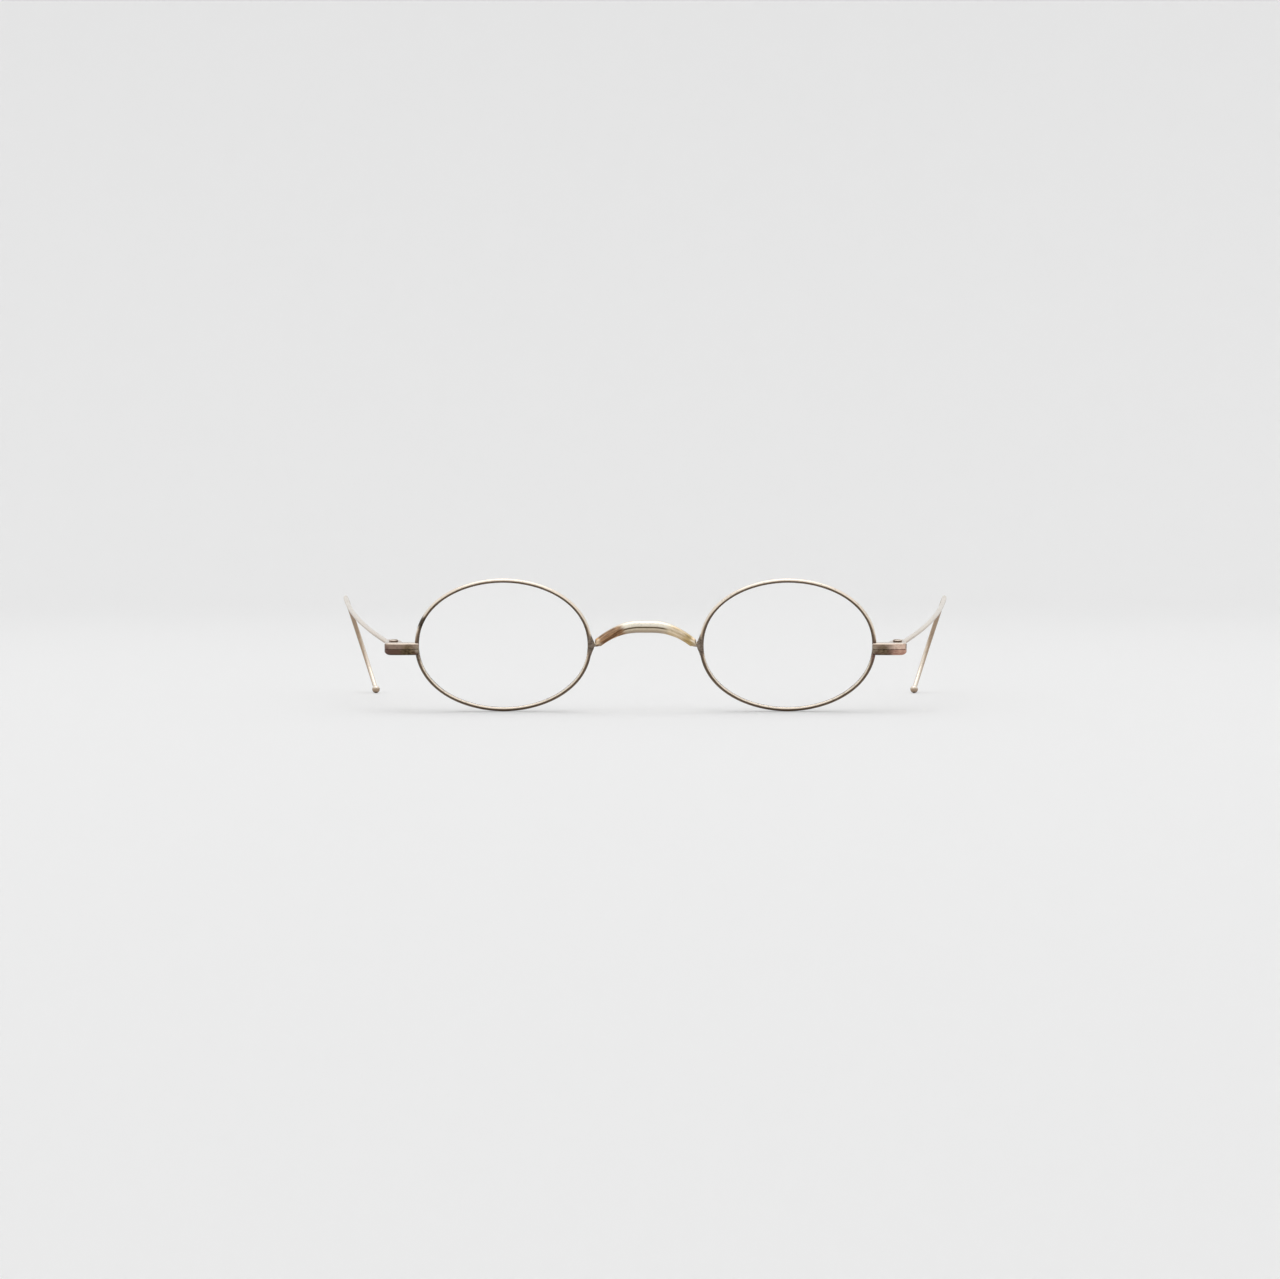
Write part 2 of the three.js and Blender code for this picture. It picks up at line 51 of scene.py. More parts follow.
hair = 0.001  # in mm, how near to a plane a point counts as on it
beyond = 1  # in mm, how far a cutter stands out of what it cuts

# Pieces are modelled in millimetres about the point midway between the lenses,
# x towards the left one, y towards the temples' hooks, z up, and then stood on the floor at the rest lean.
hinge = next(joint for joint in frame["joints"] if joint["name"] == "left_temple_fold")
lensLow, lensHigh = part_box("left_lens")
lensMiddle = (lensLow + lensHigh) / 2
lean = math.atan2(-hinge["axis"][1], hinge["axis"][2])
frontPlace = (
    Matrix.Translation((0, lensMiddle.y, lensMiddle.z))
    @ Matrix.Rotation(lean, 4, "X")
    @ Matrix.Scale(mm, 4)
)
hingePoint = frontPlace.inverted() @ Vector(hinge["pos_m"])
lensX = lensMiddle.x / mm
print("frame loaded, the front's top leans forward", round(math.degrees(lean), 2), "degrees")


def inFrame(x, y, z):  # from a place on the front, in mm, to the shared frame
    return frontPlace @ Vector((x, y, z))


def only(piece):  # out of edit mode, with this piece alone selected
    if bpy.context.mode != "OBJECT":
        bpy.ops.object.mode_set(mode="OBJECT")
    bpy.ops.object.select_all(action="DESELECT")
    bpy.context.view_layer.objects.active = piece
    piece.select_set(True)
    return piece


def edit(piece, kind="VERT"):
    only(piece)
    bpy.ops.object.mode_set(mode="EDIT")
    bpy.ops.mesh.select_mode(type=kind)


def pick(piece, kind, test):  # selects the verts, edges or faces that pass the test
    bpy.ops.mesh.select_all(action="DESELECT")
    mesh = bmesh.from_edit_mesh(piece.data)
    for part in getattr(mesh, kind):
        if test(part):
            part.select_set(True)
    mesh.select_flush_mode()
    bmesh.update_edit_mesh(piece.data)


def extrude(way):
    bpy.ops.mesh.extrude_region_move(TRANSFORM_OT_translate={"value": way})


def closeUp(piece, gap=0.002):  # merges doubles and turns the faces outwards
    edit(piece)
    bpy.ops.mesh.select_all(action="SELECT")
    bpy.ops.mesh.remove_doubles(threshold=gap)
    bpy.ops.mesh.normals_make_consistent(inside=False)
    return only(piece)


def applyModifier(piece, kind, **settings):
    only(piece)
    modifier = piece.modifiers.new(kind.title(), kind)
    for key, value in settings.items():
        setattr(modifier, key, value)
    bpy.ops.object.modifier_apply(modifier=modifier.name)


def bevelSharp(piece, sizes):  # rounds only the edges that turn by more than the angle
    applyModifier(piece, "BEVEL", width=sizes["cutEdge"], segments=2,
                  limit_method="ANGLE", angle_limit=sizes["sharp"])


def cutOrJoin(piece, other, operation):
    applyModifier(piece, "BOOLEAN", object=other, operation=operation, solver="EXACT")
    bpy.data.objects.remove(other)


def bakePlace(piece):
    only(piece)
    bpy.ops.object.transform_apply(location=True, rotation=True, scale=True)
    return piece


def addBlock(low, high):
    bpy.ops.mesh.primitive_cube_add(size=1)
    piece = bpy.context.active_object
    piece.location = (Vector(low) + Vector(high)) / 2
    piece.scale = Vector(high) - Vector(low)
    return bakePlace(piece)


def addPin(radius, depth, steps=48):  # along the z axis
    bpy.ops.mesh.primitive_cylinder_add(vertices=steps, radius=radius, depth=depth)
    return bpy.context.active_object


def drawLine(points):  # a vertex extruded from point to point
    bpy.ops.mesh.primitive_plane_add(size=1)
    line = bpy.context.active_object
    edit(line)
    bpy.ops.mesh.select_all(action="SELECT")
    bpy.ops.mesh.merge(type="CENTER")
    bpy.ops.transform.translate(value=points[0])
    for here, there in zip(points, points[1:]):
        extrude(there - here)
    return only(line)


def turnProfile(profile, steps=48):  # (radius, height) points turned about the z axis
    piece = drawLine([Vector((radius, 0, height)) for radius, height in profile])
    edit(piece)
    bpy.ops.mesh.select_all(action="SELECT")
    bpy.ops.mesh.spin(steps=steps, angle=2 * math.pi, center=(0, 0, 0), axis=(0, 0, 1))
    return closeUp(piece)


def toCurve(piece):
    only(piece)
    bpy.ops.object.convert(target="CURVE")
    curve = bpy.context.active_object
    curve.data.dimensions = "3D"
    return curve


def toMesh(curve):
    only(curve)
    bpy.ops.object.convert(target="MESH")
    return closeUp(bpy.context.active_object)


def mirrorCopy(piece):  # the same piece on the right
    only(piece)
    bpy.ops.object.duplicate()
    copy = bpy.context.active_object
    copy.scale.x = -1
    bakePlace(copy)
    return closeUp(copy, gap=1e-5)


def placePiece(piece, name, node, body, material, crease=35, flats=False):
    only(piece)
    bpy.ops.object.shade_smooth_by_angle(angle=math.radians(crease))
    if flats:  # keeps flat faces flat beside their rounded edges
        applyModifier(piece, "WEIGHTED_NORMAL", keep_sharp=True)
    piece.matrix_world = frontPlace
    bakePlace(piece)
    piece.name = name
    piece.data.name = name
    piece.data.materials.clear()
    piece.data.materials.append(material)
    upward = piece.data.attributes.new("upward", "FLOAT", "CORNER")  # how far each corner looks up
    upward.data.foreach_set("value", [normal.vector.z for normal in piece.data.corner_normals])
    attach(piece, body)
    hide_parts(node)


def placePair(left, name, node, material, temple=False, flats=False):  # with its mirror image
    for side, piece in (("left", left), ("right", mirrorCopy(left))):
        body = side + "_temple" if temple else "front"
        placePiece(piece, side + name, side + "_" + node, body, material, flats=flats)


# Materials
def linear(hexColour):
    shares = [int(hexColour[i:i + 2], 16) / 255 for i in (1, 3, 5)]
    return [s / 12.92 if s <= 0.04045 else ((s + 0.055) / 1.055) ** 2.4 for s in shares] + [1]


def addNode(tree, kind, settings=None, links=None):
    node = tree.nodes.new(kind)
    for key, value in (settings or {}).items():
        if isinstance(key, str) and hasattr(node, key):
            setattr(node, key, value)
        else:
            node.inputs[key].default_value = value
    for key, source in (links or {}).items():
        tree.links.new(source, node.inputs[key])
    return node


def newMaterial(name):
    material = bpy.data.materials.new(name)
    material.use_nodes = True
    return material, material.node_tree, material.node_tree.nodes["Principled BSDF"]


# Gold filled brass, drawn and polished, a century old. Its colour is painted by which way a face looks:
# a painted highlight on top, tan on the sides and painted shade underneath. Round the soldered joints
# it is stained, copper and olive in streaks; the copper and olive on the bridge's limbs are painted reflections.
goldSkin = dict(
    streakEdges=(0.38, 0.62), speckEdges=(0.56, 0.74), highlightFade=0.3, dullEdges=(0.35, 0.7), dulling=0.15,
    scratch=0.12, scratchDepth=0.02, scratchStrength=0.12,  # coarser than real scratches, so that they show
)


def paintedLightTones(tree, look, upward, clouds):
    # paints shade on faces that look down and a highlight on faces that look up
    uneven = addNode(tree, "ShaderNodeMath", {"operation": "MULTIPLY_ADD", 1: look["uneven"]},
                     {0: clouds, 2: upward})
    middle = look["uneven"] / 2
    facingShare = addNode(tree, "ShaderNodeMapRange", {"From Min": middle - 1, "From Max": middle + 1},
                  {"Value": uneven.outputs["Value"]})
    ramp = addNode(tree, "ShaderNodeValToRGB", links={"Fac": facingShare.outputs["Result"]})
    elements = ramp.color_ramp.elements
    elements.remove(elements[1])
    for i, (height, tone) in enumerate(look["tones"]):  # from the underside to the top
        element = elements[0] if i == 0 else elements.new(height)
        element.position = height
        element.color = linear(tone)
    return ramp.outputs["Color"]


def goldStreaks(tree, look, place):  # along x, or down the two limbs of the bridge
    axes = addNode(tree, "ShaderNodeSeparateXYZ", links={"Vector": place}).outputs
    across = addNode(tree, "ShaderNodeMath", {"operation": "ABSOLUTE"}, {0: axes["X"]})
    slope = addNode(tree, "ShaderNodeMath", {"operation": "MULTIPLY_ADD", 1: look["streakSlope"]},
                    {0: across.outputs["Value"], 2: axes["Z"]})
    squeeze = addNode(tree, "ShaderNodeMath", {"operation": "MULTIPLY", 1: look["streakSqueeze"]},
                      {0: axes["X"]})
    lines = addNode(tree, "ShaderNodeCombineXYZ", links={
        "X": squeeze.outputs["Value"], "Y": axes["Y"], "Z": slope.outputs["Value"],
    })
    streaks = addNode(tree, "ShaderNodeTexNoise", {"Scale": 1 / (look["streak"] * mm), "Detail": 3.0},
                      {"Vector": lines.outputs["Vector"]})
    return streaks.outputs


def stainedColour(tree, look, place, colour):
    streaks = goldStreaks(tree, look, place)
    low, high = goldSkin["streakEdges"]
    streakShare = addNode(tree, "ShaderNodeMapRange", {"From Min": low, "From Max": high},
                          {"Value": streaks["Fac"]})
    reach = look["wander"] * mm  # how far the streaks push a stain's edge about
    wander = addNode(tree, "ShaderNodeVectorMath", {"operation": "MULTIPLY_ADD", 1: (reach,) * 3},
                     {0: streaks["Color"], 2: place})
    for spot, inner, outer, dark, pale, share in look["stains"]:  # fading from inner to outer mm
        middle = inFrame(*spot) + Vector((reach / 2,) * 3)
        away = addNode(tree, "ShaderNodeVectorMath", {"operation": "DISTANCE", 1: middle},
                       {0: wander.outputs["Vector"]})
        near = addNode(tree, "ShaderNodeMapRange",
                       {"interpolation_type": "SMOOTHSTEP", "From Min": inner * mm, "From Max": outer * mm,
                        "To Min": share, "To Max": 0.0},
                       {"Value": away.outputs["Value"]})
        stain = addNode(tree, "ShaderNodeMix", {"data_type": "RGBA", 6: linear(dark), 7: linear(pale)},
                        {0: streakShare.outputs["Result"]})
        colour = addNode(tree, "ShaderNodeMix", {"data_type": "RGBA"},
                         {0: near.outputs["Result"], 6: colour, 7: stain.outputs[2]}).outputs[2]
    return colour


def speckledColour(tree, look, place, colour):
    specks = addNode(tree, "ShaderNodeTexNoise", {"Scale": 1 / (look["speck"] * mm), "Detail": 3.0},
                     {"Vector": place})
    low, high = goldSkin["speckEdges"]
    speckShare = addNode(tree, "ShaderNodeMapRange",
                         {"From Min": low, "From Max": high, "To Max": look["speckle"]},
                         {"Value": specks.outputs["Fac"]})
    speckled = addNode(tree, "ShaderNodeMix", {"data_type": "RGBA", 7: linear(look["tarnish"])},
                       {0: speckShare.outputs["Result"], 6: colour})
    return speckled.outputs[2]


def highlightedColour(tree, look, upward, colour):  # paints a highlight where it faces up
    crown = addNode(tree, "ShaderNodeMapRange",
                    {"interpolation_type": "SMOOTHSTEP", "From Min": look["highlightFrom"],
                     "From Max": look["highlightFrom"] + goldSkin["highlightFade"]},
                    {"Value": upward})
    highlighted = addNode(tree, "ShaderNodeMix", {"data_type": "RGBA", 7: linear(look["crown"])},
                      {0: crown.outputs["Result"], 6: colour})
    return highlighted.outputs[2]


def goldFilled(name, look):
    material, tree, shader = newMaterial(name)
    place = addNode(tree, "ShaderNodeTexCoord").outputs["Object"]
    upward = addNode(tree, "ShaderNodeAttribute", {"attribute_name": "upward"}).outputs["Fac"]
    clouds = addNode(tree, "ShaderNodeTexNoise", {"Scale": 1 / (look["cloud"] * mm), "Detail": 4.0},
                     {"Vector": place}).outputs["Fac"]
    colour = paintedLightTones(tree, look, upward, clouds)
    colour = stainedColour(tree, look, place, colour)
    colour = speckledColour(tree, look, place, colour)
    colour = highlightedColour(tree, look, upward, colour)
    tree.links.new(colour, shader.inputs["Base Color"])
    shader.inputs["Metallic"].default_value = 1.0
    low, high = goldSkin["dullEdges"]
    gloss = addNode(tree, "ShaderNodeMapRange",
                    {"From Min": low, "From Max": high, "To Min": look["roughness"],
                     "To Max": look["roughness"] + goldSkin["dulling"]},
                    {"Value": clouds})
    tree.links.new(gloss.outputs["Result"], shader.inputs["Roughness"])
    scratches = addNode(tree, "ShaderNodeTexNoise", {"Scale": 1 / (goldSkin["scratch"] * mm), "Detail": 2.0},
                        {"Vector": place})
    relief = addNode(tree, "ShaderNodeBump",
                     {"Strength": goldSkin["scratchStrength"], "Distance": goldSkin["scratchDepth"] * mm},
                     {"Height": scratches.outputs["Fac"]})
    tree.links.new(relief.outputs["Normal"], shader.inputs["Normal"])
    return material


# A tone is (0 for a face that looks down to 1 for one that looks up, colour); the tones paint shade on faces that
# look down and highlights on faces that look up. A stain is (place on the front in mm, radius where it is full,
# radius where it ends, dark and pale colour, strength).
rimOutside = 19.2  # from a lens's middle to the side of its rim
footX = lensX - rimOutside
endX = lensX + rimOutside
eyewireLook = dict(
    # painted shade below, a dark painted line just under the middle, a painted highlight on top; crown is the
    # painted highlight's colour
    tones=[(0.0, "#7d6d5d"), (0.38, "#615244"), (0.45, "#6c5c4f"), (0.5, "#b39f8a"), (0.56, "#f1e4d2"),
           (1.0, "#f9eee0")],
    crown="#f9efe2", highlightFrom=0.55, tarnish="#4d4036", cloud=5, uneven=0.35, speck=0.6, speckle=0.3,
    roughness=0.15, streak=0.45, streakSlope=0, streakSqueeze=0.3, wander=1.2,
    stains=[
        ((footX, 0, 0), 1.2, 2.8, "#5c5148", "#85786c", 0.9),  # grey brown under the bridge's feet
        ((-footX, 0, 0), 1.2, 2.8, "#5c5148", "#85786c", 0.9),
        ((-48.3, 0, 4.9), 0.8, 2.0, "#2f2922", "#4f453a", 0.95),  # a burnt patch above the right end piece
        ((endX, 0, -1.6), 0.8, 3.4, "#5d3f39", "#7d5f58", 0.8),  # reddish below the left end piece
        ((-endX, 0, -2.0), 0.8, 3.0, "#463b31", "#6e6052", 0.8),
    ],
)
eyewireGold = goldFilled("gold filled eyewire, drawn and polished", eyewireLook)
footMiddle = footX + 0.15  # in the thickness of a foot
footStains = [  # the same grey brown along both feet
    ((x, 0, z), 0.7, 1.2, "#5c5148", "#85786c", 0.9)
    for x in (footMiddle, -footMiddle) for z in (-1.3, 0, 1.3)
]
bridgeLook = {
    **eyewireLook,
    # painted shade below, a painted dark reflection line across the band at 0.47 to 0.53, a painted highlight on
    # top; crown is its colour
    "tones": [(0.0, "#9a8b7a"), (0.3, "#b5a58f"), (0.4, "#cebfa8"), (0.44, "#d6c8b0"), (0.47, "#665843"),
              (0.53, "#625440"), (0.57, "#e8dcc8"), (0.61, "#f0e8d7"), (1.0, "#f0e8d8")],
    "crown": "#f0e8d8", "highlightFrom": 0.6, "uneven": 0.06, "speckle": 0.15,
    "streak": 0.5, "streakSlope": 0.62, "streakSqueeze": 0.12,
    "stains": [
        ((-7.6, 0.4, 2.1), 2.4, 3.9, "#633f22", "#b8906c", 0.92),  # a painted copper reflection on the right limb
        # a painted pale gold reflection on the left limb
        ((7.0, 0.4, 2.4), 1.6, 3.6, "#c2a67a", "#efdcbc", 0.75),
        ((9.4, 0, 1.0), 0.8, 2.2, "#8f743c", "#cdb27c", 0.85),  # a painted olive reflection by the left foot
        *footStains,
        ((10.5, -0.3, 1.2), 0.4, 1.0, "#e3c08e", "#fff2dc", 0.9),  # a painted highlight on top of the necks
        ((-10.4, -0.3, 1.0), 0.4, 0.9, "#d9a96e", "#ffe9cc", 0.9),
        ((-10.5, -0.4, -0.3), 0.2, 0.6, "#5a3f2e", "#6d5140", 0.9),  # painted shade under the right neck
    ],
}
bridgeGold = goldFilled("gold filled bridge, worn to the copper", bridgeLook)
jointStains = [  # on both halves of the end pieces
    ((-56.3, -0.6, -1.2), 0.5, 1.8, "#5a4541", "#7a6059", 0.85),  # purple brown at the right end
    ((-51.4, -1, -1.0), 0.8, 2.0, "#4b3d22", "#85735a", 0.8),  # olive by the rims
    ((51.4, -1, -1.0), 0.6, 1.8, "#51432f", "#7f6f58", 0.8),
    ((-49.4, -0.6, -0.8), 0.7, 1.3, "#8d806d", "#b7aa96", 0.7),
    ((49.4, -0.6, -0.8), 0.7, 1.3, "#8d806d", "#b7aa96", 0.6),
]
endLook = {
    **eyewireLook,
    # painted shade on faces that look down, a painted highlight on faces that look up; crown is its colour
    "tones": [(0.0, "#5e5044"), (0.4, "#8a7668"), (0.5, "#988374"), (0.6, "#b09c8a"), (0.7, "#d6c6b6"),
              (1.0, "#dccfc1")],
    "crown": "#dccfc1", "highlightFrom": 0.35, "uneven": 0.15, "cloud": 2.5,
    "streak": 0.35, "streakSqueeze": 0.5, "wander": 0.9,
    "stains": [
        ((55.9, -0.8, -0.2), 1.4, 4.0, "#d3b19f", "#ead0bd", 0.9),  # pale pinkish copper at the left end
        *jointStains,
        ((56.7, 0.1, -0.1), 0.8, 1.4, "#4a382c", "#6b5443", 0.95),  # a painted dark reflection line at the left end
    ],
}
endGold = goldFilled("gold filled end piece, dulled", endLook)
endLowerLook = {
    **endLook,
    # darker than the upper half throughout: painted shade, with painted shade underneath and a painted highlight
    # on top
    "tones": [(0.0, "#47372f"), (0.35, "#57433a"), (0.45, "#624b40"), (0.5, "#6e564a"), (0.6, "#8f7868"),
              (1.0, "#c9b8a8")],
    "stains": [
        ((56.0, -0.8, -1.6), 1.4, 4.0, "#b58a79", "#cfa893", 0.9),  # pinkish copper at the left end
        *jointStains,
        ((-51.6, -1, -1.7), 0.7, 2.0, "#352a18", "#5f5038", 0.8),  # dark olive under the right one
    ],
}
endLowerGold = goldFilled("gold filled end piece, browned underneath", endLowerLook)
templeLook = {
    **eyewireLook,
    # painted shade on faces that look down, a painted highlight on faces that look up; crown is its colour
    "tones": [(0.0, "#9d8a78"), (0.45, "#a8937e"), (0.56, "#c0aa93"), (0.7, "#eee2d2"), (1.0, "#f6ecdf")],
    "crown": "#f6ecdf", "uneven": 0.3, "speckle": 0.2, "roughness": 0.12, "stains": [],
}
templeGold = goldFilled("gold filled temple, polished wire", templeLook)
# the screw takes the end pieces' painted shade and highlight
screwGold = goldFilled("gold filled screw, worn head", {**endLook, "roughness": 0.25, "stains": []})

# Crown glass, ground and polished: clear and without colour, seen by its reflections and a faint waviness
glassLook = dict(colour="#ffffff", bending=1.52, wave=9, waveStrength=0.02, waveDepth=0.05)


def crownGlass(name, look):
    material, tree, shader = newMaterial(name)
    shader.inputs["Base Color"].default_value = linear(look["colour"])
    shader.inputs["Roughness"].default_value = 0.0
    shader.inputs["IOR"].default_value = look["bending"]
    shader.inputs["Transmission Weight"].default_value = 1.0
    place = addNode(tree, "ShaderNodeTexCoord").outputs["Object"]
    waves = addNode(tree, "ShaderNodeTexNoise", {"Scale": 1 / (look["wave"] * mm), "Detail": 1.0},
                    {"Vector": place})
    relief = addNode(tree, "ShaderNodeBump",
                     {"Strength": look["waveStrength"], "Distance": look["waveDepth"] * mm},
                     {"Height": waves.outputs["Fac"]})
    tree.links.new(relief.outputs["Normal"], shader.inputs["Normal"])
    return material


lensGlass = crownGlass("crown glass, polished", glassLook)
print("materials made")

# Lenses
lensSizes = dict(
    halfWidth=(lensHigh.x - lensLow.x) / mm / 2, halfHeight=13.85,  # at the point of the bevel
    tip=0.5, reach=0.1, mouth=0.38, shoulder=0.03, crown=0.12,
    rings=14, lastRing=0.49, sides=192,  # a last ring of 0.5 would be the lens's middle
)


def makeLens():
    s = lensSizes
    across, up = s["halfWidth"], s["halfHeight"]
    bpy.ops.mesh.primitive_circle_add(vertices=s["sides"], radius=1, fill_type="NGON")
    lens = bpy.context.active_object
    edit(lens, "FACE")
    bpy.ops.mesh.select_all(action="SELECT")
    bpy.ops.transform.resize(value=(across, up, 1), center_override=(0, 0, 0))
    bpy.ops.transform.translate(value=(0, 0, -s["tip"] / 2))
    extrude((0, 0, s["tip"]))
    edgeX = (across - s["reach"]) / across
    edgeY = (up - s["reach"]) / up
    steps = [(edgeX, edgeY, s["mouth"]), (edgeX, edgeY, s["mouth"] + s["shoulder"])]
    for i in range(1, s["rings"] + 1):
        share = math.cos(i / s["rings"] * s["lastRing"] * math.pi)
        rise = s["crown"] * (1 - share ** 2)
        steps.append((edgeX * share, edgeY * share, s["mouth"] + s["shoulder"] + rise))
    for side in (1, -1):
        pick(lens, "faces", lambda f: len(f.verts) > 4 and f.calc_center_median().z * side > 0)
        wasX, wasY, wasZ = 1, 1, s["tip"] / 2
        for toX, toY, toZ in steps:
            extrude((0, 0, side * (toZ - wasZ)))
            bpy.ops.transform.resize(value=(toX / wasX, toY / wasY, 1), center_override=(0, 0, 0))
            wasX, wasY, wasZ = toX, toY, toZ
        bpy.ops.mesh.poke()
    closeUp(lens, gap=1e-4)
    lens.rotation_euler.x = math.pi / 2
    lens.location.x = lensX
    return bakePlace(lens)


placePair(makeLens(), "Lens", "lens", lensGlass)
print("lenses made")

# Eyewires
eyewireSizes = dict(
    wall=0.66, lap=0.4, depth=1.37, mouth=0.96, gap=0.12,  # wall and lap are outside and inside the lens edge
    split=0.05, sectionSteps=48, ringSteps=64, grooveCuts=4,  # split is where the rim opens for the lens
)


def rimSection():  # half an oval with a groove for the lens
    s = eyewireSizes
    bpy.ops.mesh.primitive_circle_add(vertices=s["sectionSteps"], radius=1)
    section = bpy.context.active_object
    edit(section)
    bpy.ops.mesh.select_all(action="SELECT")
    half = (s["wall"] + s["lap"]) / 2
    bpy.ops.transform.resize(value=(half, s["depth"] / 2, 1), center_override=(0, 0, 0))
    lip = -half * math.sqrt(1 - (s["mouth"] / s["depth"]) ** 2)  # where the groove opens
    bpy.ops.mesh.bisect(plane_co=(lip, 0, 0), plane_no=(1, 0, 0), clear_inner=True)
    pick(section, "verts", lambda v: abs(v.co.x - lip) < hair)
    bpy.ops.mesh.edge_face_add()
    bpy.ops.mesh.subdivide(number_cuts=s["grooveCuts"])
    pick(section, "verts", lambda v: abs(v.co.x - lip) < hair and abs(v.co.y) < s["mouth"] / 4)
    bpy.ops.transform.translate(value=(s["lap"] + s["gap"] - half - lip, 0, 0))  # the bottom of the groove
    bpy.ops.mesh.select_all(action="SELECT")
    bpy.ops.transform.translate(value=(half - s["lap"], 0, 0))
    bpy.ops.transform.resize(value=(-1, 1, 1), center_override=(0, 0, 0))  # the outside of a ring is at -x
    return toCurve(section)


def makeEyewire():
    s = eyewireSizes
    section = rimSection()
    bpy.ops.curve.primitive_bezier_circle_add(radius=1)
    ring = bpy.context.active_object
    bpy.ops.object.mode_set(mode="EDIT")
    bpy.ops.curve.select_all(action="SELECT")
    across, up = lensSizes["halfWidth"], lensSizes["halfHeight"]
    bpy.ops.transform.resize(value=(across, up, 1), center_override=(0, 0, 0))
    bpy.ops.object.mode_set(mode="OBJECT")
    ring.data.resolution_u = s["ringSteps"]
    ring.data.bevel_mode = "OBJECT"
    ring.data.bevel_object = section
    eyewire = toMesh(ring)
    bpy.data.objects.remove(section)
    eyewire.rotation_euler.x = math.pi / 2
    eyewire.location.x = lensX
    bakePlace(eyewire)
    low, high = hingePoint.z - s["split"] / 2, hingePoint.z + s["split"] / 2
    cutOrJoin(eyewire, addBlock((lensX, -s["depth"], low), (hingePoint.x, s["depth"], high)), "DIFFERENCE")
    return eyewire


placePair(makeEyewire(), "Eyewire", "eyewire", eyewireGold)
print("eyewires made")

# Bridge
bridgeSizes = dict(
    width=2.7, front=0.98, back=0.32, footHeight=0.1, footLength=4.4, footThick=0.6, footThin=0.12,
    neckWidth=1.1, neckLength=0.9, neckSlope=math.radians(2), neckLap=0.3, taper=0.5,
    limbWidth=2.0, limbSlope=math.radians(39), limbReach=3.6, spread=9.0,
    crestRise=3.75, crestHalf=1.4, crestReach=3.6, crestSetback=1.0, crestLean=math.radians(18),
    sectionSteps=48, limbPoints=36, crestPoints=4, footPoints=24, footRounding=6,
    voxel=0.06, smoothing=8,  # the fine mesh that melts band and feet together
)


def easeBetween(value, low, high):
    share = min(max((value - low) / (high - low), 0), 1)
    return share * share * (3 - 2 * share)


def bridgeLine():  # the middle of the band from foot to foot, and how far out its necks end
    s = bridgeSizes
    foot = Vector((lensX - (lensSizes["halfWidth"] + eyewireSizes["wall"]), 0, s["footHeight"]))
    neck = foot + Vector((-math.cos(s["neckSlope"]), 0, math.sin(s["neckSlope"]))) * s["neckLength"]
    limbStart = neck + Vector((-math.cos(s["limbSlope"]), 0, math.sin(s["limbSlope"]))) * s["limbReach"]
    crest = Vector((s["crestHalf"], s["crestSetback"], s["footHeight"] + s["crestRise"]))
    limbEnd = crest + Vector((s["crestReach"], 0, 0))
    limb = interpolate_bezier(neck, limbStart, limbEnd, crest, s["limbPoints"])
    half = [foot + Vector((s["neckLap"], 0, 0)), foot, *limb]
    for i in range(1, s["crestPoints"] + 1):
        half.append(Vector((crest.x * (1 - i / s["crestPoints"]), crest.y, crest.z)))
    return [Vector((-p.x, p.y, p.z)) for p in half[:-1]] + half[::-1], neck.x


def bandSection():  # a half oval with a flat back
    s = bridgeSizes
    bpy.ops.mesh.primitive_circle_add(vertices=s["sectionSteps"], radius=1)
    section = bpy.context.active_object
    edit(section)
    bpy.ops.mesh.select_all(action="SELECT")
    bpy.ops.transform.resize(value=(s["front"], s["width"] / 2, 1), center_override=(0, 0, 0))
    bpy.ops.mesh.bisect(plane_co=(-s["back"], 0, 0), plane_no=(1, 0, 0), clear_inner=True)
    pick(section, "verts", lambda v: abs(v.co.x + s["back"]) < hair)
    bpy.ops.mesh.edge_face_add()
    return toCurve(section)


def makeBand():
    s = bridgeSizes
    line, neckX = bridgeLine()
    section = bandSection()
    band = toCurve(drawLine(line))
    band.data.bevel_mode = "OBJECT"
    band.data.bevel_object = section
    band.data.use_fill_caps = True
    band.data.twist_mode = "Z_UP"
    for point in band.data.splines[0].points:
        inward = neckX - abs(point.co.x)
        full = easeBetween(inward, 0, s["taper"])
        wide = s["limbWidth"] + (s["width"] - s["limbWidth"]) * easeBetween(inward, s["taper"], s["spread"])
        point.radius = (s["neckWidth"] + (wide - s["neckWidth"]) * full) / s["width"]
        point.tilt = -s["crestLean"] * full
    band = toMesh(band)
    bpy.data.objects.remove(section)
    return band


def makeFoot(side):  # a crescent along the rim, thickest in its middle
    s = bridgeSizes
    across, up = lensSizes["halfWidth"], lensSizes["halfHeight"]
    line = []
    for i in range(s["footPoints"] + 1):
        share = i / s["footPoints"] - 0.5
        angle = math.pi + share * s["footLength"] / up
        edge = Vector((math.cos(angle) * across, 0, math.sin(angle) * up))
        outward = Vector((math.cos(angle) / across, 0, math.sin(angle) / up)).normalized()
        spot = Vector((lensX, 0, 0)) + edge + outward * eyewireSizes["wall"]
        line.append(Vector((side * spot.x, spot.y, spot.z)))
    foot = toCurve(drawLine(line))
    foot.data.bevel_depth = 1
    foot.data.bevel_resolution = s["footRounding"]
    foot.data.use_fill_caps = True
    for point in foot.data.splines[0].points:
        share = point.co.z / s["footLength"]
        point.radius = s["footThin"] + (s["footThick"] - s["footThin"]) * math.cos(share * math.pi) ** 2
    return toMesh(foot)


def makeBridge():
    bridge = makeBand()
    feet = [makeFoot(side) for side in (1, -1)]
    only(bridge)
    for foot in feet:
        foot.select_set(True)
    bpy.ops.object.join()
    applyModifier(bridge, "REMESH", mode="VOXEL", voxel_size=bridgeSizes["voxel"])
    applyModifier(bridge, "SMOOTH", factor=0.5, iterations=bridgeSizes["smoothing"])
    return bridge


placePiece(makeBridge(), "saddleBridge", "bridge", "front", bridgeGold, crease=120)
print("bridge made")

